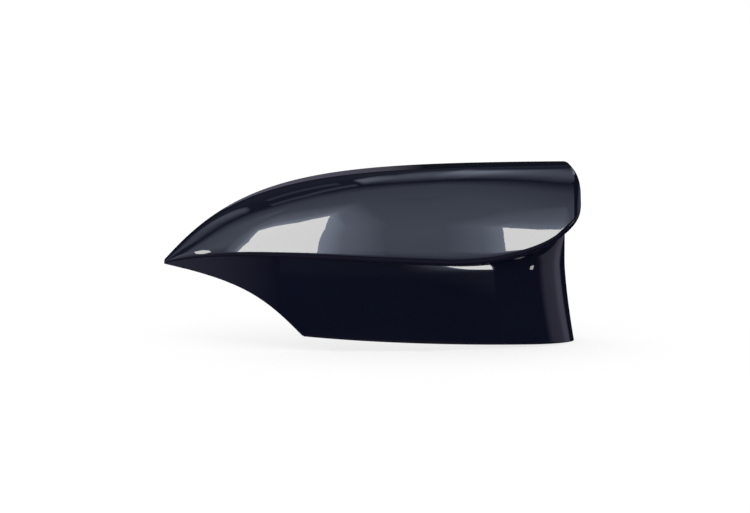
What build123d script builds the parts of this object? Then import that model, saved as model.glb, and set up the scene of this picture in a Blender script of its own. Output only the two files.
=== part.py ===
from build123d import *
import math
import os

# Cover of a door mirror: one moulded shell. Sizes are in mm.
# X runs from the pointed outboard tip to the inboard end, Z is up and the cover opens towards +Y.
# The rear rim lies in the plane y = 0, and the origin is the datum of the clips in that plane.

# Overall size
cover_length = 236.0
cover_depth = 63.0
top_height = 55.6
bottom_drop = 46.0
wall = 2.5

# Pointed outboard tip, which is solid up to where the hollow starts
tip_x = -cover_length / 2
tip_z = -2.2
tip_depth = 4.0
tip_blunt = 1.5
hollow_taper = 5.0

# Top rim and lip seen from the front: both climb from the tip and level out
top_reach = 43.8
top_power = 1.08
lip_rise = 17.5
lip_reach = 40.0
lip_fall = 0.053

# Rolled lip: its height, and its depth and handles as shares of that
lip_radius = 4.2
roll_depth = 1.3
roll_handle = 0.55

# Plan of the lip: deepest at peak_x, falling back to the tip and to the inboard end
peak_x = 30.0
plan_power = 2.2
end_fall = 16.0

# Section of the upper bowl, as shares of its depth and height
flange_share = 0.45
shoulder_pull = 0.22
bulge_pull = 0.58
bulge_lean = 0.03

# Inboard end of the upper bowl: the lip climbs, the front edge is rounded and the top corner is cut round
end_x = cover_length / 2
climb_run = 80.0
climb_share = 0.42
end_round = 4.0
corner_across = 7.5
corner_down = 15.0
corner_dip = 0.1

# Plan of the lower wall, set back under the lip: it bows back from lower_peak_x and turns a corner
recess = 6.5
lower_peak_x = 4.0
lower_tip_share = 0.85
lower_bow = 31.0
turn_share = 0.22
end_wall_depth = 12.0

# Inboard end of the lower wall, which is flared below flare_z
overhang = 7.1
end_flare = 5.8
flare_power = 1.4
flare_z = 0.0

# Front of the lower wall in height: upright, tucked in below crown_z and rounded back above it inboard
crown_z = -2.0
crown_radius = 14.0
crown_start = 15.0
crown_run = 55.0
lower_tuck = 1.5

# Top of the lower part, hidden inside the bowl: low along the lip up to where the lip starts to climb
lower_roof = 24.0
roof_rise = 1.2
roof_x = 30.0

# Lower outline: concave cut from the tip to a corner, then the bottom edge
cut_run = 81.5
cut_rise = 8.0
cut_tip_pull = 46.0
cut_tip_fall = 5.0
cut_corner_pull = 22.0
cut_corner_radius = 2.0

# Snap hooks: flexible arms that point rearwards, each with a catch at its free end
hook_width = 9.0
hook_thick = 2.0
hook_length = 20.0
hook_root = 5.0
hook_gap = 4.0
hook_setback = 3.0
catch_height = 2.0
catch_length = 5.0
top_hooks = (-66.0, -16.0, 38.0, 88.0)
bottom_hooks = (-14.0, 30.0, 78.0)
bottom_hook_rise = 12.0

# Locating pins on bosses inside the bowl, given by their places (x, z)
pin_radius = 3.0
pin_length = 18.0
pin_chamfer = 1.0
pin_boss_radius = 5.0
pin_tip_y = -20.0
pins = ((-30.0, 25.0), (68.0, 27.0))

# Ribs that stiffen the bulge from inside
rib_thick = 1.6
rib_height = 6.0
ribs = (-52.0, -4.0, 24.0, 52.0, 100.0)

# How far a cutting form runs past what it cuts
clear = 6.0


def slope(law, x):
    return law(x + 0.5) - law(x - 0.5)


def blend(a, b, t):
    return (a[0] + (b[0] - a[0]) * t, a[1] + (b[1] - a[1]) * t)


def spread(start, stop, shares):
    return [start + (stop - start) * t for t in shares]


def quarter(x, start, stop):
    """Quarter circle law: 0 up to start and 1 at stop, where it stands upright."""
    u = min(max((x - start) / (stop - start), 0.0), 1.0)
    return 1 - math.sqrt(1 - u * u)


def top_z(x):
    return tip_z + (top_height - tip_z) * (1 - math.exp((tip_x - x) / top_reach)) ** top_power


def lip_z(x):
    return tip_z + lip_rise * (1 - math.exp((tip_x - x) / lip_reach)) - lip_fall * (x - tip_x)


def depth(x):
    if x < peak_x:
        return cover_depth - (cover_depth - tip_depth) * ((peak_x - x) / (peak_x - tip_x)) ** plan_power
    return cover_depth - end_fall * ((x - peak_x) / (end_x - peak_x)) ** 2


def lower_end(z):
    return end_x - overhang + end_flare * (max(flare_z - z, 0) / (bottom_drop + flare_z)) ** flare_power


def lower_plan(x):
    """Depth of the lower wall from the tip up to its foremost place."""
    deepest = cover_depth - recess
    share = ((lower_peak_x - x) / (lower_peak_x - tip_x)) ** 2
    return deepest - (deepest - lower_tip_share * tip_depth) * share


def lower_front(x, z, inset):
    """Depth of the lower wall's front at x and z: it keeps behind the lip and turns the inboard corner."""
    deepest = cover_depth - recess
    if z > crown_z:
        u = min(max((x - crown_start) / crown_run, 0.0), 1.0)
        back = u * u * (3 - 2 * u) * (z - crown_z) ** 2 / (2 * crown_radius)
    else:
        back = lower_tuck * ((crown_z - z) / (bottom_drop + crown_z)) ** 2
    if x < lower_peak_x:
        return lower_plan(x) * (1 - back / deepest) - inset * math.hypot(1, slope(lower_plan, x))
    foremost = deepest - back - inset
    u = min((x - lower_peak_x) / (lower_end(z) - inset - lower_peak_x), 1.0)
    turned = (foremost - lower_bow - end_wall_depth) * quarter(u, 1 - turn_share, 1)
    return foremost - lower_bow * u * u - turned


def section_plane(x):
    return Plane(origin=(x, 0, 0), x_dir=(0, 1, 0), z_dir=(1, 0, 0))


def bowl_curves(x, inset):
    """Bulge and lip roll of the bowl's section at x, moved in by inset, as Bezier points (y, z)."""
    end = end_x - inset
    front = depth(x) - inset * math.hypot(1, slope(depth, x)) - end_round * quarter(x, end - end_round, end)
    top = top_z(x) - inset * math.hypot(1, slope(top_z, x))
    outer_radius = lip_radius * math.sqrt(depth(x) / cover_depth)
    radius = max(outer_radius - inset, 0.15 * lip_radius)
    low = lip_z(x) - outer_radius + inset + radius
    p0 = (-front, low)
    p1 = (-front * (1 - bulge_lean), low + bulge_pull * (top - low))
    p2 = (-front * (flange_share + shoulder_pull), top)
    p3 = (-front * flange_share, top)

    # Where the lip climbs, the bulge loses its lower stretch, up to the share s of its curve
    s = climb_share * quarter(x, end - climb_run, end)
    q0, q1, q2 = blend(p0, p1, s), blend(p1, p2, s), blend(p2, p3, s)
    r0, r1 = blend(q0, q1, s), blend(q1, q2, s)
    lip = blend(r0, r1, s)
    under = lip[1] - radius
    lean = (lip[0] - r1[0]) / (r1[1] - lip[1])
    bulge = (lip, r1, q2, p3)
    roll = (
        (lip[0] + roll_depth * radius, under),
        (lip[0] + roll_depth * (1 - roll_handle) * radius, under),
        (lip[0] + lean * roll_handle * radius, lip[1] - roll_handle * radius),
        lip,
    )
    return bulge, roll


def bowl(inset, rear):
    """Upper bowl as a solid form, lofted from sections along X."""
    start = tip_x + tip_blunt + hollow_taper * inset
    end = end_x - inset
    stations = spread(start, end, (0, 0.02, 0.06, 0.13, 0.23, 0.35, 0.48, 0.61, 0.73, 0.83, 0.9))
    stations += [end - end_round * t for t in (3, 1.25, 0.5, 0.12, 0)]
    corner_x = end - corner_across + inset
    corner_top = top_z(corner_x) - inset - corner_dip
    corner_z = corner_top - corner_down + inset
    with BuildPart() as form:
        for x in stations:
            bulge, roll = bowl_curves(x, inset)
            with BuildSketch(section_plane(x)):
                with BuildLine():
                    Bezier(*bulge)
                    Polyline(bulge[3], (rear, bulge[3][1]), (rear, roll[0][1]), roll[0])
                    Bezier(*roll)
                make_face()
        loft()
        with BuildSketch(Plane.XZ):
            with BuildLine():
                EllipticalCenterArc((corner_x, corner_z), end - corner_x, corner_top - corner_z, arc_size=90)
                Polyline(
                    (corner_x, corner_top),
                    (corner_x, corner_top + clear),
                    (end + clear, corner_top + clear),
                    (end + clear, corner_z),
                    (end, corner_z),
                )
            make_face()
        extrude(amount=cover_depth + clear, both=True, mode=Mode.SUBTRACT)
    return form.part


def lower_body(inset, rear):
    """Lower part as a solid form, lofted from level plans up to the crown and from there to its roof."""
    left = tip_x + tip_blunt + hollow_taper * inset
    floor = -bottom_drop - clear
    below_crown = spread(floor, crown_z, (0, 0.35, 0.7, 1))
    above_crown = spread(crown_z, lower_roof, (0, 0.15, 0.35, 0.65, 1))
    with BuildPart() as form:
        for levels in (below_crown, above_crown):
            for z in levels:
                end = lower_end(z) - inset
                turn_x = lower_peak_x + (1 - turn_share) * (end - lower_peak_x)
                run = spread(left, lower_peak_x, (0, 0.12, 0.27, 0.44, 0.62, 0.81))
                run += spread(lower_peak_x, turn_x, (0, 0.2, 0.4, 0.6, 0.8, 1))
                turn = spread(turn_x, end, (0, 0.38, 0.71, 0.92, 1))
                front = [(x, -lower_front(x, z, inset)) for x in run]
                corner = [(x, -lower_front(x, z, inset)) for x in turn]
                start_slope = lower_front(left - 0.5, z, inset) - lower_front(left + 0.5, z, inset)
                turn_slope = 2 * lower_bow * (1 - turn_share) / (end - lower_peak_x)
                with BuildSketch(Plane.XY.offset(z)):
                    with BuildLine():
                        Spline(front, tangents=[(1, start_slope), (1, turn_slope)])
                        Spline(corner, tangents=[(1, turn_slope), (0, 1)])
                        Polyline(corner[-1], (end, rear), (left, rear), front[0])
                    make_face()
            loft()
        with BuildSketch(Plane.XZ):
            roof_run = spread(tip_x, roof_x, (0, 0.05, 0.12, 0.22, 0.35, 0.55, 1))
            roof = [(x, lip_z(x) + roof_rise) for x in roof_run]
            high = lower_roof + clear
            Polygon((tip_x - clear, tip_z), *roof, (2 * roof_x, high), (tip_x - clear, high), align=None)
        extrude(amount=cover_depth + clear, both=True, mode=Mode.SUBTRACT)
    return form.part


with BuildPart() as outer:
    add(bowl(0, 0))
    add(lower_body(0, 0))

with BuildPart() as cavity:
    add(bowl(wall, clear))
    add(lower_body(wall, clear))

# Form through the middle of the wall: what stands on the inside is trimmed to it and so roots in the wall
with BuildPart() as mid_wall:
    add(bowl(wall / 2, 0))
    add(lower_body(wall / 2, 0))

# Everything below the lower outline
with BuildPart() as below:
    with BuildSketch(Plane.XZ):
        tip = (tip_x - clear, tip_z)
        corner = (tip_x + cut_run, cut_rise - bottom_drop)
        tip_handle = (tip_x + cut_tip_pull, tip_z - cut_tip_fall)
        corner_handle = (corner[0] - cut_corner_pull, corner[1] + cut_corner_pull)
        deep = -bottom_drop - cover_depth
        with BuildLine():
            Bezier(tip, tip_handle, corner_handle, corner)
            Polyline(corner, (end_x, -bottom_drop), (end_x + clear, deep), (tip[0], deep), tip)
        outline = make_face()
        fillet(outline.vertices().sort_by_distance(corner)[0], radius=cut_corner_radius)
    extrude(amount=cover_depth + clear, both=True)

with BuildPart() as fittings:
    # Hooks under the top rim: the root hangs from the rim, and the arm can spring up into the gap above it
    for x in top_hooks:
        arm = top_z(x) - wall - hook_gap
        free = -hook_setback
        root = free - min(hook_length, depth(x) * flange_share)
        catch = free - catch_length
        with BuildSketch(section_plane(x)):
            Polygon(
                (root, top_z(x) + clear),
                (root, arm - hook_thick),
                (catch, arm - hook_thick),
                (catch, arm - hook_thick - catch_height),
                (free, arm - hook_thick / 2),
                (free, arm),
                (root + hook_root, arm),
                (root + hook_root, top_z(x) + clear),
                align=None,
            )
        extrude(amount=hook_width / 2, both=True)

    # Hooks above the bottom edge: each arm stands on the lower wall, with a gusset in its upper corner
    for x in bottom_hooks:
        arm = bottom_hook_rise - bottom_drop
        root = -lower_front(x, arm, 0)
        foot = root + wall
        free = foot + hook_length
        catch = free - catch_length
        with BuildSketch(section_plane(x)):
            Polygon(
                (root - clear, arm),
                (root - clear, arm + hook_thick + hook_root),
                (foot, arm + hook_thick + hook_root),
                (foot + hook_root, arm + hook_thick),
                (free, arm + hook_thick),
                (free, arm + hook_thick / 2),
                (catch, arm - catch_height),
                (catch, arm),
                align=None,
            )
        extrude(amount=hook_width / 2, both=True)

    for x, z in pins:
        with BuildSketch(Plane(origin=(x, pin_tip_y, z), x_dir=(1, 0, 0), z_dir=(0, 0, 1))):
            Polygon(
                (0, 0),
                (pin_radius - pin_chamfer, 0),
                (pin_radius, -pin_chamfer),
                (pin_radius, -pin_length),
                (pin_boss_radius, -pin_length),
                (pin_boss_radius, -cover_depth),
                (0, -cover_depth),
                align=None,
            )
        revolve(axis=Axis((x, 0, z), (0, 1, 0)))

    for x in ribs:
        foot_curve = bowl_curves(x, wall / 2)[0]
        crest_curve = bowl_curves(x, wall + rib_height)[0]
        with BuildSketch(section_plane(x)):
            with BuildLine():
                Bezier(*foot_curve)
                Line(foot_curve[3], crest_curve[3])
                Bezier(*reversed(crest_curve))
                Line(crest_curve[0], foot_curve[0])
            make_face()
        extrude(amount=rib_thick / 2, both=True)
    add(mid_wall.part, mode=Mode.INTERSECT)

with BuildPart() as mirror_cover:
    add(outer.part)
    add(cavity.part, mode=Mode.SUBTRACT)
    add(fittings.part)
    add(below.part, mode=Mode.SUBTRACT)

mirror_cover.part.label = "mirror_cover"
os.makedirs("parts", exist_ok=True)
export_step(mirror_cover.part, "parts/mirror_cover.step")
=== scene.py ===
import math

import bmesh
import bpy
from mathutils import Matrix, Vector


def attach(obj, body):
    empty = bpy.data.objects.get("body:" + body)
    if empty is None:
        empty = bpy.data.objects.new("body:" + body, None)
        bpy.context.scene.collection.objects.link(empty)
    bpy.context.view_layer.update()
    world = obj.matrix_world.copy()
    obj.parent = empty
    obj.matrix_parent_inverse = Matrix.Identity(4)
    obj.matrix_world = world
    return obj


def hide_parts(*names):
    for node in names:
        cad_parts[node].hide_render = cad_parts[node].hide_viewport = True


# Wing mirror cover: one painted moulded shell with hooks, pins and ribs on its raw inside.
# The form follows the same laws and sizes, in mm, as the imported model, and is scaled to metres.

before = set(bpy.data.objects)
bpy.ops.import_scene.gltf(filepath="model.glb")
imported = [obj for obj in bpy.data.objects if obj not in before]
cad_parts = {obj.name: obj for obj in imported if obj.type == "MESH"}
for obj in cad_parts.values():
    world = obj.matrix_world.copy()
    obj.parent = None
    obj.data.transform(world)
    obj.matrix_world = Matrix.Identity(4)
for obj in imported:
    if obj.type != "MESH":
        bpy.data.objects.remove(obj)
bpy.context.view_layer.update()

MM = 0.001

# Overall size
cover_length = 236.0
cover_depth = 63.0
top_height = 55.6
bottom_drop = 46.0
wall = 2.5

# Pointed outboard tip, which is solid up to where the hollow starts
tip_x = -cover_length / 2
tip_z = -2.2
tip_depth = 4.0
tip_blunt = 1.5
hollow_taper = 5.0
hollow_x = tip_x + tip_blunt + hollow_taper * wall

# Top rim and lip seen from the front: both climb from the tip and level out
top_reach = 43.8
top_power = 1.08
lip_rise = 17.5
lip_reach = 40.0
lip_fall = 0.053

# Rolled lip: its height, and its depth, its handles and its least height inside as shares of that
lip_radius = 4.2
roll_depth = 1.3
roll_handle = 0.55
least_roll = 0.15

# Plan of the lip: deepest at peak_x, falling back to the tip and to the inboard end
peak_x = 30.0
plan_power = 2.2
end_fall = 16.0

# Section of the upper bowl, as shares of its depth and height
flange_share = 0.45
shoulder_pull = 0.22
bulge_pull = 0.58
bulge_lean = 0.03

# Inboard end of the upper bowl: the lip climbs, the front edge is rounded, the top corner is cut round
# and the edge of that cut is softened, by at most a share of the flange's depth
end_x = cover_length / 2
climb_run = 80.0
climb_share = 0.42
end_round = 4.0
corner_across = 7.5
corner_down = 15.0
corner_soften = 1.2
soften_share = 0.3

# Plan of the lower wall, set back under the lip: it bows back from lower_peak_x and turns a corner
recess = 6.5
lower_peak_x = 4.0
lower_tip_share = 0.85
lower_bow = 31.0
turn_share = 0.22
end_wall_depth = 12.0

# Inboard end of the lower wall, which is flared below flare_z
overhang = 7.1
end_flare = 5.8
flare_power = 1.4
flare_z = 0.0

# Front of the lower wall in height: upright, tucked in below crown_z and rounded back above it inboard
crown_z = -2.0
crown_radius = 14.0
crown_start = 15.0
crown_run = 55.0
lower_tuck = 1.5

# Lower outline: concave cut from before the tip to a softened corner, then the bottom edge
cut_start = 6.0
cut_run = 81.5
cut_rise = 8.0
cut_tip_pull = 46.0
cut_tip_fall = 5.0
cut_corner_pull = 22.0
cut_corner_soften = 0.28

# Least height of the lower wall near the tip, and least length of a gusset beyond the wall
least_wall = 0.05

# Snap hooks: flexible arms that point rearwards, each with a catch at its free end
hook_width = 9.0
hook_thick = 2.0
hook_length = 20.0
hook_root = 5.0
hook_gap = 4.0
hook_setback = 3.0
catch_height = 2.0
catch_length = 5.0
top_hooks = (-66.0, -16.0, 38.0, 88.0)
bottom_hooks = (-14.0, 30.0, 78.0)
bottom_hook_rise = 12.0

# Locating pins on bosses inside the bowl, given by their places (x, z)
pin_radius = 3.0
pin_length = 18.0
pin_chamfer = 1.0
pin_boss_radius = 5.0
pin_tip_y = -20.0
pins = ((-30.0, 25.0), (68.0, 27.0))

# Ribs that stiffen the bulge from inside
rib_thick = 1.6
rib_height = 6.0
ribs = (-52.0, -4.0, 24.0, 52.0, 100.0)

# Numbers of steps of the skin's mesh: along the cover, and round its section
tip_steps = 16
run_steps = 84
turn_steps = 60
end_steps = 34
flange_steps = 8
soften_steps = 6
bulge_steps = 44
roll_steps = 12
under_steps = 6
wall_steps = 34
end_wall_steps = 8
pin_steps = 40
rib_steps = 24

# Crowding of the steps towards the tip and the lip, and the roll's largest share of the underside
tip_crowding = 1.5
wall_crowding = 1.3
roll_part = 0.8

# Step and halvings of the search for where two curves meet, and a length that counts as none
search_step = 0.01
halvings = 50
tiny = 1e-6

# Rounding of the rim's edges, and the angle above which an edge is sharp
rim_round = 0.5
rim_segments = 3
sharp_angle = 32.0

# Distances of the studio's cloth, bars, boxes and small lamps, in metres
cloth_distance = 9.0
bar_distance = 6.0
box_distance = 5.0
lamp_distance = 3.0

# Material slots of the cover's faces
PAINT, RAW = 0, 1

# Tints of the studio's lights
PALE = (0.86, 0.96, 1.2)
MAUVE = (0.94, 0.88, 1.18)

# Grey of the studio in front of the cover, by elevation
STUDIO_GREY = (
    (-90, (0.1, 0.08, 0.1)),
    (-35, (0.2, 0.16, 0.18)),
    (-13, (0.02, 0.02, 0.025)),
    (-8, (0.02, 0.02, 0.025)),
    (-4, (0.25, 0.26, 0.32)),
    (0, (0.62, 0.66, 0.84)),
    (8, (1.12, 1.26, 1.58)),
    (30, (1.22, 1.36, 1.7)),
    (60, (1.0, 1.12, 1.4)),
    (90, (0.66, 0.75, 0.96)),
)


def slope(law, x):
    """Slope of a law at x, taken over one millimetre."""
    return law(x + 0.5) - law(x - 0.5)


def blend(a, b, t):
    """Point or colour at the share t of the way from a to b."""
    return tuple(p + (q - p) * t for p, q in zip(a, b))


def bezier(points, t):
    """Point of a Bezier curve at t, by repeated blends."""
    while len(points) > 1:
        points = [blend(a, b, t) for a, b in zip(points, points[1:])]
    return points[0]


def solve(law, low, high):
    """Place between low and high where a rising law crosses zero."""
    for _ in range(halvings):
        middle = (low + high) / 2
        if law(middle) < 0:
            low = middle
        else:
            high = middle
    return (low + high) / 2


def quarter(x, start, stop):
    """Quarter circle law: 0 up to start and 1 at stop, where it stands upright."""
    u = min(max((x - start) / (stop - start), 0.0), 1.0)
    return 1 - math.sqrt(1 - u * u)


def top_z(x):
    return tip_z + (top_height - tip_z) * (1 - math.exp((tip_x - x) / top_reach)) ** top_power


def lip_z(x):
    return tip_z + lip_rise * (1 - math.exp((tip_x - x) / lip_reach)) - lip_fall * (x - tip_x)


def depth(x):
    if x < peak_x:
        return cover_depth - (cover_depth - tip_depth) * ((peak_x - x) / (peak_x - tip_x)) ** plan_power
    return cover_depth - end_fall * ((x - peak_x) / (end_x - peak_x)) ** 2


def lower_end(z):
    return end_x - overhang + end_flare * (max(flare_z - z, 0) / (bottom_drop + flare_z)) ** flare_power


def lower_plan(x):
    """Depth of the lower wall from the tip up to its foremost place."""
    deepest = cover_depth - recess
    share = ((lower_peak_x - x) / (lower_peak_x - tip_x)) ** 2
    return deepest - (deepest - lower_tip_share * tip_depth) * share


def lower_front(x, z, inset):
    """Depth of the lower wall's front at x and z: behind the lip and round the inboard corner."""
    deepest = cover_depth - recess
    if z > crown_z:
        u = min(max((x - crown_start) / crown_run, 0.0), 1.0)
        back = u * u * (3 - 2 * u) * (z - crown_z) ** 2 / (2 * crown_radius)
    else:
        back = lower_tuck * ((crown_z - z) / (bottom_drop + crown_z)) ** 2
    if x < lower_peak_x:
        return lower_plan(x) * (1 - back / deepest) - inset * math.hypot(1, slope(lower_plan, x))
    foremost = deepest - back - inset
    u = min((x - lower_peak_x) / (lower_end(z) - inset - lower_peak_x), 1.0)
    turned = (foremost - lower_bow - end_wall_depth) * quarter(u, 1 - turn_share, 1)
    return foremost - lower_bow * u * u - turned


def bowl_curves(x, inset):
    """Bulge and lip roll of the bowl's section at x, moved in by inset, as Bezier points (y, z)."""
    end = end_x - inset
    front = depth(x) - inset * math.hypot(1, slope(depth, x))
    front -= end_round * quarter(x, end - end_round, end)
    top = top_z(x) - inset * math.hypot(1, slope(top_z, x))
    outer_radius = lip_radius * math.sqrt(depth(x) / cover_depth)
    radius = max(outer_radius - inset, least_roll * lip_radius)
    low = lip_z(x) - outer_radius + inset + radius
    p0 = (-front, low)
    p1 = (-front * (1 - bulge_lean), low + bulge_pull * (top - low))
    p2 = (-front * (flange_share + shoulder_pull), top)
    p3 = (-front * flange_share, top)

    # Where the lip climbs, the bulge loses its lower stretch, up to the share s of its curve
    s = climb_share * quarter(x, end - climb_run, end)
    q0, q1, q2 = blend(p0, p1, s), blend(p1, p2, s), blend(p2, p3, s)
    r0, r1 = blend(q0, q1, s), blend(q1, q2, s)
    lip = blend(r0, r1, s)
    under = lip[1] - radius
    lean = (lip[0] - r1[0]) / (r1[1] - lip[1])
    bulge = (lip, r1, q2, p3)
    roll = (
        lip,
        (lip[0] + lean * roll_handle * radius, lip[1] - roll_handle * radius),
        (lip[0] + roll_depth * (1 - roll_handle) * radius, under),
        (lip[0] + roll_depth * radius, under),
    )
    return bulge, roll


def corner_cut_z(x, inset):
    """Height of the round cut of the top inboard corner at x."""
    corner_x = end_x - corner_across
    if x <= corner_x:
        return top_height
    corner_top = top_z(corner_x) - inset
    corner_z = corner_top - corner_down + inset
    u = min((x - corner_x) / (end_x - inset - corner_x), 1.0)
    return corner_z + (corner_top - corner_z) * math.sqrt(1 - u * u)


def outline_z(x):
    """Height of the lower outline at x: the concave cut and the bottom edge, with a softened corner."""
    corner = (tip_x + cut_run, cut_rise - bottom_drop)
    cut = (
        (tip_x - cut_start, tip_z),
        (tip_x + cut_tip_pull, tip_z - cut_tip_fall),
        (corner[0] - cut_corner_pull, corner[1] + cut_corner_pull),
        corner,
    )
    bottom = corner[1] - cut_rise * (x - corner[0]) / (end_x - corner[0])
    if x < corner[0]:
        edge = bezier(cut, solve(lambda t: bezier(cut, t)[0] - x, 0, 1))[1]
    else:
        edge = corner[1] - (x - corner[0])
    return (edge + bottom + math.hypot(edge - bottom, cut_corner_soften)) / 2


def upper_line(x, inset):
    """Section of the bowl at x: rear rim, flange, bulge and lip, as (y, z)."""
    bulge, _ = bowl_curves(x, inset)
    cut = min(corner_cut_z(x, inset), bulge[3][1])
    t = solve(lambda t: bezier(bulge, t)[1] - cut, 0, 1) if cut < bulge[3][1] else 1.0
    edge = bezier(bulge, t)
    soften = min(corner_soften, -soften_share * edge[0])
    flange_end = (edge[0] + soften, cut)
    t_end = solve(lambda s: soften - math.dist(bezier(bulge, s), edge), 0, t)
    bulge_end = bezier(bulge, t_end)
    line = [(flange_end[0] * i / flange_steps, cut) for i in range(flange_steps)]
    line += [bezier((flange_end, edge, bulge_end), i / soften_steps) for i in range(soften_steps)]
    line += [bezier(bulge, t_end * (1 - i / bulge_steps)) for i in range(bulge_steps + 1)]
    return line


def under_point(roll, share):
    """Point of the lip's roll (share up to 1) and of the level underside behind it (share over 1)."""
    if share <= 1:
        return bezier(roll, share)
    return (roll[3][0] + (share - 1) * (roll[3][0] - roll[0][0]), roll[3][1])


def valley_share(roll, x, inset):
    """Where the lip's underside meets the lower wall, or the lower outline close to the tip."""
    floor = outline_z(x) + least_wall
    share = 0.0
    while True:
        y, z = under_point(roll, share)
        if y > -lower_front(x, z, inset) or z < floor:
            break
        share += search_step
    return solve(
        lambda s: max(
            under_point(roll, s)[0] + lower_front(x, under_point(roll, s)[1], inset),
            floor - under_point(roll, s)[1],
        ),
        max(share - search_step, 0.0),
        share,
    )


def under_line(x, inset):
    """Section from below the lip to the valley, without the lip itself, as (y, z)."""
    _, roll = bowl_curves(x, inset)
    valley = valley_share(roll, x, inset)
    turn = min(1.0, roll_part * valley)
    shares = [turn * i / roll_steps for i in range(1, roll_steps + 1)]
    shares += [turn + (valley - turn) * i / under_steps for i in range(1, under_steps + 1)]
    return [under_point(roll, s) for s in shares]


def stations(inset):
    """Places along X: even up to the deepest point, then closer towards the lower corner and the end."""
    lower = lower_end(flare_z) - inset
    end = end_x - inset
    even = [hollow_x + (lower_peak_x - hollow_x) * i / run_steps for i in range(run_steps + 1)]
    bend = [math.sin(math.pi / 2 * i / turn_steps) for i in range(1, turn_steps + 1)]
    turn = [lower_peak_x + (lower - lower_peak_x) * share for share in bend]
    close = [math.sin(math.pi / 2 * i / end_steps) for i in range(1, end_steps + 1)]
    last = [lower + (end - lower) * share for share in close]
    return even + turn + last


def wall_column(top, inset, turn):
    """Points of the lower wall below its valley point. turn is the share of the run to the end wall."""

    def place(z):
        if top[0] <= lower_peak_x:
            return top[0]
        return lower_peak_x + (lower_end(z) - inset - lower_peak_x) * turn

    foot = outline_z(place(outline_z(top[0])))
    column = []
    for i in range(1, wall_steps + 1):
        z = top[2] + (foot - top[2]) * (i / wall_steps) ** wall_crowding
        x = place(z)
        y = top[1] if turn == 1 else -lower_front(x, z, inset)
        column.append((x, y, z))
    return column


def add_points(mesh, points):
    return [mesh.verts.new(Vector(p) * MM) for p in points]


def add_strips(mesh, lines, material):
    """Quads between neighbouring lines of vertices."""
    for a, b in zip(lines, lines[1:]):
        for i in range(len(a) - 1):
            face = mesh.faces.new((a[i], a[i + 1], b[i + 1], b[i]))
            face.material_index = material


def add_face(mesh, vertices, material):
    mesh.faces.new(vertices).material_index = material


def add_skin(mesh, places, inset, material):
    """One skin of the shell. Returns its section lines, wall columns and rim, from top to bottom."""
    lower_x = lower_end(flare_z) - inset
    uppers, tails, columns = [], [], []
    for x in places:
        line = [(x, y, z) for y, z in upper_line(x, inset) + under_line(x, inset)]
        uppers.append(add_points(mesh, line))
        top = line[-1]
        past_turn = x > lower_x - tiny
        if past_turn:
            shares = [1 - i / end_wall_steps for i in range(1, end_wall_steps + 1)]
            tails.append([uppers[-1][-1]] + add_points(mesh, [(x, top[1] * s, top[2]) for s in shares]))
        if not past_turn or len(tails) == 1:
            turn = max((x - lower_peak_x) / (lower_x - lower_peak_x), 0.0)
            columns.append([uppers[-1][-1]] + add_points(mesh, wall_column(top, inset, turn)))
    for vertex in tails[0][1:]:
        top = tuple(vertex.co / MM)
        columns.append([vertex] + add_points(mesh, wall_column(top, inset, 1.0)))
    add_strips(mesh, uppers, material)
    add_strips(mesh, tails, material)
    add_strips(mesh, columns, material)
    add_face(mesh, uppers[-1] + tails[-1][1:], material)
    rim = [line[0] for line in uppers]
    rim += [line[-1] for line in reversed(tails)]
    rim += columns[-1][1:]
    rim += [column[-1] for column in reversed(columns[:-1])]
    return uppers, columns, rim


def build_shell():
    """Closed mesh of the shell: outer and inner skin, the rim between them and the solid tip."""
    mesh = bmesh.new()
    point_x = tip_x + tip_blunt
    shares = [(i / tip_steps) ** tip_crowding for i in range(tip_steps)]
    tip_places = [point_x + (hollow_x - point_x) * share for share in shares]
    uppers, columns, outer_rim = add_skin(mesh, tip_places + stations(0), 0.0, PAINT)
    inner_uppers, inner_columns, inner_rim = add_skin(mesh, stations(wall), wall, RAW)
    outer_rim = outer_rim[tip_steps:-tip_steps]
    add_strips(mesh, [outer_rim, inner_rim], PAINT)

    # Solid tip: its rear and bottom faces, its blunt point and the end of the hollow
    rear = [line[0] for line in uppers[: tip_steps + 1]]
    foot = [column[-1] for column in columns[: tip_steps + 1]]
    base = add_points(mesh, [(v.co.x / MM, 0, v.co.z / MM) for v in foot])
    for i in range(tip_steps):
        inner_top = [inner_uppers[0][0]] if i == tip_steps - 1 else []
        inner_foot = [inner_columns[0][-1]] if i == tip_steps - 1 else []
        add_face(mesh, [rear[i], rear[i + 1]] + inner_top + [base[i + 1], base[i]], PAINT)
        add_face(mesh, [foot[i], foot[i + 1]] + inner_foot + [base[i + 1], base[i]], PAINT)
    add_face(mesh, uppers[0] + columns[0][1:] + [base[0]], PAINT)
    add_face(mesh, inner_uppers[0] + inner_columns[0][1:] + [base[tip_steps]], RAW)

    # The rim's edges are rounded
    weight = mesh.edges.layers.float.new("bevel_weight_edge")
    for rim in (outer_rim, inner_rim):
        for a, b in zip(rim, rim[1:]):
            mesh.edges.get((a, b))[weight] = 1.0
    bmesh.ops.recalc_face_normals(mesh, faces=mesh.faces)
    return mesh


def add_prism(mesh, near, far):
    """Closed prism between two outlines with as many points."""
    a = add_points(mesh, near)
    b = add_points(mesh, far)
    for i in range(len(a)):
        j = (i + 1) % len(a)
        add_face(mesh, [a[i], a[j], b[j], b[i]], RAW)
    add_face(mesh, list(reversed(a)), RAW)
    add_face(mesh, b, RAW)


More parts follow.
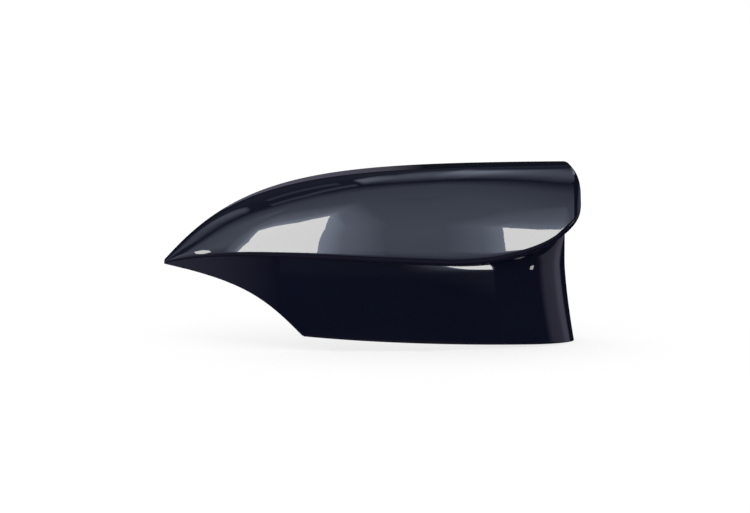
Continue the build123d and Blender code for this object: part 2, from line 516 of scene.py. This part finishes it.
def top_hook(x, side):
    """Outline of a hook under the top rim, on one of its sides: it is rooted in the flange above it."""
    at = x + side * hook_width / 2
    seat = top_z(at) - wall / 2 * math.hypot(1, slope(top_z, at))
    arm = top_z(x) - wall - hook_gap
    free = -hook_setback
    root = free - min(hook_length, depth(x) * flange_share)
    catch = free - catch_length
    return [
        (at, root, seat),
        (at, root, arm - hook_thick),
        (at, catch, arm - hook_thick),
        (at, catch, arm - hook_thick - catch_height),
        (at, free, arm - hook_thick / 2),
        (at, free, arm),
        (at, root + hook_root, arm),
        (at, root + hook_root, seat),
    ]


def bottom_hook(x, side):
    """Outline of a hook above the bottom edge, on one of its sides: it stands on the lower wall."""
    at = x + side * hook_width / 2
    arm = bottom_hook_rise - bottom_drop
    seat = -lower_front(at, arm, wall / 2)
    foot = wall - lower_front(x, arm, 0)
    free = foot + hook_length
    catch = free - catch_length

    # The gusset starts at the wall, which lies further back at one side where the wall turns
    start = max(foot, seat + least_wall)
    crest = arm + hook_thick + hook_root - (start - foot)
    return [
        (at, seat, arm),
        (at, seat, crest),
        (at, start, crest),
        (at, foot + hook_root, arm + hook_thick),
        (at, free, arm + hook_thick),
        (at, free, arm + hook_thick / 2),
        (at, catch, arm - catch_height),
        (at, catch, arm),
    ]


def bulge_y(x, z, inset):
    """Place of the bulge at x and z, moved in by inset."""
    bulge, _ = bowl_curves(x, inset)
    return bezier(bulge, solve(lambda t: bezier(bulge, t)[1] - z, 0, 1))[0]


def add_pin(mesh, x, z):
    """Locating pin on its boss, whose foot follows the middle of the wall."""
    shoulder = pin_tip_y - pin_length
    rings = (
        (pin_radius - pin_chamfer, pin_tip_y),
        (pin_radius, pin_tip_y - pin_chamfer),
        (pin_radius, shoulder),
        (pin_boss_radius, shoulder),
        (pin_boss_radius, None),
    )
    lines = []
    for radius, y in rings:
        line = []
        for i in range(pin_steps):
            turn = 2 * math.pi * i / pin_steps
            px, pz = x + radius * math.cos(turn), z + radius * math.sin(turn)
            line.append((px, bulge_y(px, pz, wall / 2) if y is None else y, pz))
        points = add_points(mesh, line)
        lines.append(points + points[:1])
    add_strips(mesh, lines, RAW)
    add_face(mesh, lines[0][:-1], RAW)
    add_face(mesh, lines[-1][:-1], RAW)


def rib(x, side):
    """Outline of a rib inside the bulge, on one of its sides."""
    at = x + side * rib_thick / 2
    foot, _ = bowl_curves(x, wall / 2)
    crest, _ = bowl_curves(x, wall + rib_height)
    line = [bezier(foot, i / rib_steps) for i in range(rib_steps + 1)]
    line += [bezier(crest, 1 - i / rib_steps) for i in range(rib_steps + 1)]
    return [(at, y, z) for y, z in line]


def build_fittings():
    """Hooks, pins and ribs as closed forms that are rooted in the wall."""
    mesh = bmesh.new()
    for outline, places in ((top_hook, top_hooks), (bottom_hook, bottom_hooks), (rib, ribs)):
        for x in places:
            add_prism(mesh, outline(x, -1), outline(x, 1))
    for x, z in pins:
        add_pin(mesh, x, z)
    bmesh.ops.recalc_face_normals(mesh, faces=mesh.faces)
    return mesh


def make_object(name, mesh, materials):
    data = bpy.data.meshes.new(name)
    mesh.to_mesh(data)
    mesh.free()
    for material in materials:
        data.materials.append(material)
    thing = bpy.data.objects.new(name, data)
    bpy.context.scene.collection.objects.link(thing)
    return thing


def evaluated_mesh(thing):
    depsgraph = bpy.context.evaluated_depsgraph_get()
    return bpy.data.meshes.new_from_object(thing.evaluated_get(depsgraph))


def node(tree, kind, **values):
    """New shader node, with values for its properties and, by socket name, for its inputs."""
    made = tree.nodes.new(kind)
    for name, value in values.items():
        if hasattr(made, name):
            setattr(made, name, value)
        else:
            made.inputs[name.replace("_", " ")].default_value = value
    return made


def set_inputs(shader, values):
    for name, value in values.items():
        shader.inputs[name].default_value = value


def new_material(name):
    material = bpy.data.materials.new(name)
    material.use_nodes = True
    tree = material.node_tree
    return material, tree, tree.nodes["Principled BSDF"]


def paint_material():
    """Deep blue-black paint under clear lacquer with a trace of orange peel."""
    material, tree, shader = new_material("paint")
    place = node(tree, "ShaderNodeTexCoord").outputs["Object"]
    set_inputs(
        shader,
        {
            "Roughness": 0.42,
            "Specular IOR Level": 0.0,
            "Coat Weight": 1.0,
            "Coat Roughness": 0.022,
            "Coat IOR": 1.5,
        },
    )

    # Fine flakes in the colour coat, over a slow drift of the tone
    flakes = node(tree, "ShaderNodeTexVoronoi", Scale=2600.0)
    drift = node(tree, "ShaderNodeTexNoise", Scale=18.0, Detail=2.0)
    ramp = node(tree, "ShaderNodeValToRGB")
    ramp.color_ramp.elements[0].color = (0.0028, 0.0037, 0.0100, 1)
    ramp.color_ramp.elements[1].color = (0.0048, 0.0062, 0.0165, 1)
    mixed = node(tree, "ShaderNodeMath", operation="MULTIPLY")
    tree.links.new(place, flakes.inputs["Vector"])
    tree.links.new(place, drift.inputs["Vector"])
    tree.links.new(flakes.outputs["Color"], mixed.inputs[0])
    tree.links.new(drift.outputs["Fac"], mixed.inputs[1])
    tree.links.new(mixed.outputs["Value"], ramp.inputs["Fac"])
    tree.links.new(ramp.outputs["Color"], shader.inputs["Base Color"])

    # Orange peel of the lacquer
    peel = node(tree, "ShaderNodeTexNoise", Scale=330.0, Detail=1.0)
    bump = node(tree, "ShaderNodeBump", Strength=0.004, Distance=0.001)
    tree.links.new(place, peel.inputs["Vector"])
    tree.links.new(peel.outputs["Fac"], bump.inputs["Height"])
    tree.links.new(bump.outputs["Normal"], shader.inputs["Coat Normal"])
    return material


def raw_material():
    """Unpainted black plastic of the inside, with a fine spark-eroded grain."""
    material, tree, shader = new_material("raw_plastic")
    place = node(tree, "ShaderNodeTexCoord").outputs["Object"]
    set_inputs(shader, {"Specular IOR Level": 0.4})
    grain = node(tree, "ShaderNodeTexNoise", Scale=2400.0, Detail=3.0)
    patches = node(tree, "ShaderNodeTexNoise", Scale=45.0, Detail=3.0)
    tone = node(tree, "ShaderNodeValToRGB")
    tone.color_ramp.elements[0].position = 0.3
    tone.color_ramp.elements[0].color = (0.020, 0.020, 0.021, 1)
    tone.color_ramp.elements[1].position = 0.7
    tone.color_ramp.elements[1].color = (0.030, 0.030, 0.032, 1)
    gloss = node(tree, "ShaderNodeMapRange", To_Min=0.46, To_Max=0.6)
    bump = node(tree, "ShaderNodeBump", Strength=0.25, Distance=0.0002)
    tree.links.new(place, grain.inputs["Vector"])
    tree.links.new(place, patches.inputs["Vector"])
    tree.links.new(patches.outputs["Fac"], tone.inputs["Fac"])
    tree.links.new(tone.outputs["Color"], shader.inputs["Base Color"])
    tree.links.new(patches.outputs["Fac"], gloss.inputs["Value"])
    tree.links.new(gloss.outputs["Result"], shader.inputs["Roughness"])
    tree.links.new(grain.outputs["Fac"], bump.inputs["Height"])
    tree.links.new(bump.outputs["Normal"], shader.inputs["Normal"])
    return material


def make_cover():
    """The cover: the shell with rounded rims, and the fittings grown onto its inside."""
    materials = [paint_material(), raw_material()]
    shell = make_object("shell", build_shell(), materials)
    rounding = shell.modifiers.new("rim", "BEVEL")
    rounding.limit_method = "WEIGHT"
    rounding.width = rim_round * MM
    rounding.segments = rim_segments
    rounding.use_clamp_overlap = False
    fittings = make_object("fittings", build_fittings(), materials)
    union = shell.modifiers.new("fittings", "BOOLEAN")
    union.operation = "UNION"
    union.solver = "EXACT"
    union.object = fittings
    data = evaluated_mesh(shell)
    for thing in (shell, fittings):
        bpy.data.objects.remove(thing)
    data.name = "mirror_cover_shell"
    data.polygons.foreach_set("use_smooth", [True] * len(data.polygons))
    data.set_sharp_from_angle(angle=math.radians(sharp_angle))
    cover = bpy.data.objects.new("mirror_cover_shell", data)
    bpy.context.scene.collection.objects.link(cover)
    return cover


def ray_direction(azimuth, elevation):
    """Unit vector: azimuth 0 points at the camera's side, positive to the right."""
    a, e = math.radians(azimuth), math.radians(elevation)
    return Vector((math.sin(a) * math.cos(e), -math.cos(a) * math.cos(e), math.sin(e)))


def glow_material():
    """Light of a studio panel: its colour and strength are kept on the panel's corners."""
    material = bpy.data.materials.new("glow")
    material.use_nodes = True
    tree = material.node_tree
    tree.nodes.clear()
    colour = node(tree, "ShaderNodeAttribute", attribute_name="glow")
    glow = node(tree, "ShaderNodeEmission")
    out = node(tree, "ShaderNodeOutputMaterial")
    tree.links.new(colour.outputs["Color"], glow.inputs["Color"])
    tree.links.new(glow.outputs["Emission"], out.inputs["Surface"])
    return material


def dome_direction(side, turn):
    """Unit vector: turn goes from the front over the zenith to the back, and side leans it along X."""
    a, t = math.radians(side), math.radians(turn)
    return Vector((math.sin(a), -math.cos(a) * math.cos(t), math.cos(a) * math.sin(t)))


def studio_panel(name, places, faces, colours, material):
    """Panel of the studio, seen only as a reflection, with a colour at each of its places."""
    mesh = bmesh.new()
    corners = [mesh.verts.new(place) for place in places]
    for face in faces:
        mesh.faces.new([corners[i] for i in face])
    panel = make_object(name, mesh, [material])
    glow = panel.data.attributes.new("glow", "FLOAT_COLOR", "POINT")
    for value, colour in zip(glow.data, colours):
        value.color = (*colour, 1)
    panel.visible_camera = False
    panel.visible_diffuse = False
    panel.visible_shadow = False


def studio_grey(elevation):
    """Grey of the studio at an elevation, between the two that are given next to it."""
    for (low, below), (high, above) in zip(STUDIO_GREY, STUDIO_GREY[1:]):
        if elevation <= high:
            return blend(below, above, (elevation - low) / (high - low))


def tint(colour, strength):
    return tuple(c * strength for c in colour)


def lamp(name, distance, outline, colours, material):
    """Single panel whose outline is given as (azimuth, elevation)."""
    places = [ray_direction(*place) * distance for place in outline]
    studio_panel(name, places, [range(len(outline))], colours, material)


def wall_strip(name, low, high, columns, material):
    """Wall between two elevations. Each column is an azimuth and the strength of the light there."""
    places = [ray_direction(azimuth, e) * box_distance for azimuth, _ in columns for e in (low, high)]
    faces = [(i, i + 1, i + 3, i + 2) for i in range(0, len(places) - 2, 2)]
    colours = [tint(MAUVE, strength) for _, strength in columns for _ in (low, high)]
    studio_panel(name, places, faces, colours, material)


def glow_ring(name, inner, outer, colour, material):
    """Glow round a soft box: it falls off fast and then slowly, to the grey at its outer outline."""
    fast_reach, fast_rest = 0.35, 0.35
    middle = [blend(a, b, fast_reach) for a, b in zip(inner, outer)]
    greys = [studio_grey(elevation) for _, elevation in outer]
    places = [ray_direction(*place) * box_distance for ring in (inner, middle, outer) for place in ring]
    count = len(inner)
    faces = []
    for ring in (0, count):
        for i in range(count):
            j = (i + 1) % count
            faces.append((ring + i, ring + j, ring + j + count, ring + i + count))
    colours = [colour] * count + [blend(grey, colour, fast_rest) for grey in greys] + greys
    studio_panel(name, places, faces, colours, material)


def dome_band(name, distance, sections, material):
    """Band over the cover. Each section is a side angle, its turns and a colour for each turn."""
    places = [dome_direction(side, turn) * distance for side, turns, _ in sections for turn in turns]
    width = len(sections[0][1])
    faces = []
    for i in range(len(sections) - 1):
        for j in range(width - 1):
            a = i * width + j
            faces.append((a, a + 1, a + 1 + width, a + width))
    glows = [colour for _, _, colours in sections for colour in colours]
    studio_panel(name, places, faces, glows, material)


def make_boxes(material):
    """Soft boxes in front on both sides, with their glow, and walls and small lamps beside them."""
    white = (15.5, 15.5, 15.3)
    left = (
        (-62.5, -0.5), (-60.8, 13), (-62, 26.5), (-57.4, 31.5), (-48.5, 37), (-37.3, 47),
        (-33.4, 31), (-33, 9), (-33, 1), (-47, 0),
    )
    left_fade = (
        (-68, -0.5), (-68, 13), (-69, 31), (-65, 46), (-53, 56), (-34, 66),
        (-9, 38), (-8, 9), (-8, 1), (-47, 0),
    )
    right = ((25, 8), (25, 28), (29.5, 25.3), (34, 22.2), (40, 19), (41.5, 19), (41.3, 0), (33, 2))
    right_fade = ((8, 9), (8, 36), (28, 43), (35, 40), (42, 35), (42.3, 22), (41.6, 0), (33, 2))
    boxes = (("left_box", left, left_fade, 4.6), ("right_box", right, right_fade, 3.6))
    for name, inner, outer, strength in boxes:
        lamp(name, box_distance, inner, [white] * len(inner), material)
        glow_ring(name + "_glow", inner, outer, tint(PALE, strength), material)

    # Walls and floor beside the boxes
    dark, grey = tint(PALE, 0.03), tint(PALE, 0.8)
    left_wall = ((-70, 8), (-70, 52), (-75, 49), (-80, 37), (-86, 16), (-88, 8))
    lamp("left_wall", box_distance, left_wall, [studio_grey(20)] * 2 + [grey] * 4, material)
    left_floor = ((-44, 0.02), (-70, 0.3), (-95, 0.45))
    wall_strip("left_floor", -16, -3, left_floor, material)
    right_cloth = ((41.7, -20), (42, 19), (48, 36), (54, 60), (72, 60), (72, -20))
    lamp("right_cloth", box_distance, right_cloth, [dark] * 6, material)
    right_wall = ((72, 0.03), (80, 0.42), (95, 0.43), (103, 0.72), (112, 0.6), (118, 0.03))
    wall_strip("right_wall", -14, 24, right_wall, material)
    right_cloth_end = ((72, 24), (72, 60), (119, 60), (119, 24))
    lamp("right_cloth_end", box_distance, right_cloth_end, [dark] * 4, material)

    # Small lamps that show as a dash at the tip and a dot at the inboard corner
    tip_lamp = ((-80.5, 6.5), (-77.3, 6.6), (-73.8, 4.4), (-72.4, 1.5), (-74.9, -0.6), (-78, 1.8))
    dot_lamp = ((58.5, -3.6), (60, 3), (65, 4.5), (63.5, -3.6))
    for name, outline, strength in (("tip_lamp", tip_lamp, 0.8), ("dot_lamp", dot_lamp, 0.55)):
        lamp(name, lamp_distance, outline, [tint(white, strength)] * len(outline), material)

    # Dim card behind the cover, which shows as a pale strip on the flange
    rear_card = ((-181, 0.005), (-179.6, 0.1), (-175, 0.14), (-172.3, 0.13))
    wall_strip("rear_card", 0, 14, rear_card, material)


def make_ceiling(material):
    """Black cloth over the cover, behind whose front edge hang two light bars, two rails and a lamp."""
    edge, dark, black = tint(PALE, 0.8), tint(PALE, 0.1), tint(PALE, 0.01)

    # Cloth: side angle, and turns of its front edge and of the dark's start and end behind it
    cloth = (
        (-80, 62, 84, 120),
        (-67, 78, 94, 125),
        (-57, 82, 96, 130),
        (-45, 81, 93, 130),
        (-37, 81, 90, 130),
        (-27, 83, 91, 130),
        (-18, 85, 94, 130),
        (-10, 87, 98, 130),
        (-4, 88, 98, 135),
        (2, 88, 97, 140),
        (9, 81, 91, 135),
        (16, 72, 81, 125),
        (22, 64, 72, 120),
        (30, 54, 62, 118),
        (45, 40, 50, 115),
        (60, 32, 42, 115),
        (80, 24, 36, 115),
    )
    fade = 18
    black_turn = 160
    back_turn = 178
    sections = []
    for side, front, *dark_turns in cloth:
        elevation = math.degrees(math.asin(dome_direction(side, front - fade).z))
        colours = (studio_grey(elevation), edge, dark, dark, black, black)
        sections.append((side, (front - fade, front, *dark_turns, black_turn, back_turn), colours))
    dome_band("cloth", cloth_distance, sections, material)

    # Bars: side angle, strength, and turns of the front edge, both sides of the core and the back edge
    bar = (
        (-10, 0.3, 102, 111, 115, 120),
        (-9, 1.45, 101, 111, 116, 122),
        (-3.5, 0.85, 99, 111, 118, 130),
        (0, 0.9, 99, 111, 120, 138),
        (2.2, 1.65, 99, 117, 123, 138),
        (4.5, 2.0, 98, 114, 118, 129),
        (7.5, 1.45, 94, 108, 113, 122),
        (11, 1.15, 89, 100, 107, 116),
        (15, 1.15, 83, 92, 97, 106),
        (20, 1.1, 75, 82, 87, 96),
        (30, 1.0, 60, 67, 72, 80),
    )
    side_bar = (
        (-66, 0.6, 97, 118, 130, 150),
        (-52, 0.62, 96, 114, 127, 152),
        (-46, 0.85, 94, 110, 126, 150),
        (-43, 0.9, 98, 105, 123, 146),
        (-40.5, 0.85, 106, 110, 118, 140),
        (-38, 0.15, 111, 115, 119, 130),
    )
    for name, band in (("bar", bar), ("side_bar", side_bar)):
        sections = [
            (side, turns, (dark, tint(PALE, strength), tint(PALE, strength), black))
            for side, strength, *turns in band
        ]
        dome_band(name, bar_distance, sections, material)

    # Rails: side angle, and turns of the front edge, the middle and the back edge
    rail = ((-37, 88, 92, 96), (-25, 90, 94, 98), (-16, 96, 100, 104), (-11, 99, 103, 107))
    rear_rail = ((-33, 103, 108, 113), (-21, 106, 111, 116), (-13, 108, 113, 118))
    for name, band, strength in (("rail", rail, 0.65), ("rear_rail", rear_rail, 0.45)):
        sections = [(side, turns, (dark, tint(PALE, strength), dark)) for side, *turns in band]
        dome_band(name, bar_distance, sections, material)

    # Lamp over the inboard corner: side angle, and turns of its edges
    corner = ((11.4, 115, 118), (14.8, 101, 118), (17.8, 90, 118), (26, 88, 118))
    sections = [(side, turns, [tint(PALE, 3)] * 2) for side, *turns in corner]
    dome_band("corner_lamp", box_distance, sections, material)


def make_world():
    """White light all round. The gloss sees a grey studio in front and next to nothing behind."""
    world = bpy.data.worlds.new("studio")
    bpy.context.scene.world = world
    world.use_nodes = True
    tree = world.node_tree
    tree.nodes.clear()
    place = node(tree, "ShaderNodeTexCoord").outputs["Generated"]
    parts = node(tree, "ShaderNodeSeparateXYZ")
    height = node(tree, "ShaderNodeMapRange", From_Min=-1.0)
    ramp = node(tree, "ShaderNodeValToRGB")
    stops = ramp.color_ramp.elements
    stops[0].color = (*STUDIO_GREY[0][1], 1)
    stops[1].color = (*STUDIO_GREY[-1][1], 1)
    for elevation, colour in STUDIO_GREY[1:-1]:
        stops.new((1 + math.sin(math.radians(elevation))) / 2).color = (*colour, 1)
    front = node(tree, "ShaderNodeMapRange", From_Min=-0.02, From_Max=0.06, To_Min=1.0, To_Max=0.03)
    seen = node(tree, "ShaderNodeBackground")
    light = node(tree, "ShaderNodeBackground", Color=(1, 1, 1, 1))
    path = node(tree, "ShaderNodeLightPath")
    mix = node(tree, "ShaderNodeMixShader")
    out = node(tree, "ShaderNodeOutputWorld")
    tree.links.new(place, parts.inputs["Vector"])
    tree.links.new(parts.outputs["Z"], height.inputs["Value"])
    tree.links.new(parts.outputs["Y"], front.inputs["Value"])
    tree.links.new(height.outputs["Result"], ramp.inputs["Fac"])
    tree.links.new(ramp.outputs["Color"], seen.inputs["Color"])
    tree.links.new(front.outputs["Result"], seen.inputs["Strength"])
    tree.links.new(path.outputs["Is Glossy Ray"], mix.inputs["Fac"])
    tree.links.new(light.outputs["Background"], mix.inputs[1])
    tree.links.new(seen.outputs["Background"], mix.inputs[2])
    tree.links.new(mix.outputs["Shader"], out.inputs["Surface"])


def make_floor():
    """Plain pale floor under the lower edge."""
    floor_radius = 6.0
    mesh = bmesh.new()
    bmesh.ops.create_circle(mesh, cap_ends=True, segments=64, radius=floor_radius)
    material, _, shader = new_material("floor")
    set_inputs(
        shader,
        {
            "Base Color": (0.3, 0.3, 0.3, 1),
            "Roughness": 0.9,
            "Specular IOR Level": 0.0,
            "Emission Color": (1, 1, 1, 1),
            "Emission Strength": 0.72,
        },
    )
    floor = make_object("floor", mesh, [material])
    floor.location.z = -bottom_drop * MM
    floor.visible_glossy = False


def make_camera():
    """Camera at the photo's angle: level with the cover's length and a little above it."""
    camera_elevation = 7.0
    camera_distance = 1500.0
    aim = Vector((3.5, -30.2, 4.3))
    data = bpy.data.cameras.new("camera")
    data.lens = 128.66
    data.sensor_width = 36.0
    camera = bpy.data.objects.new("camera", data)
    camera.location = (aim + ray_direction(0, camera_elevation) * camera_distance) * MM
    camera.rotation_euler = (math.radians(90 - camera_elevation), 0, 0)
    bpy.context.scene.collection.objects.link(camera)
    bpy.context.scene.camera = camera


cover = make_cover()
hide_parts("mirror_cover")
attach(cover, "root")
make_floor()
make_world()
glow = glow_material()
make_boxes(glow)
make_ceiling(glow)
make_camera()
bpy.context.scene.view_settings.view_transform = "Standard"
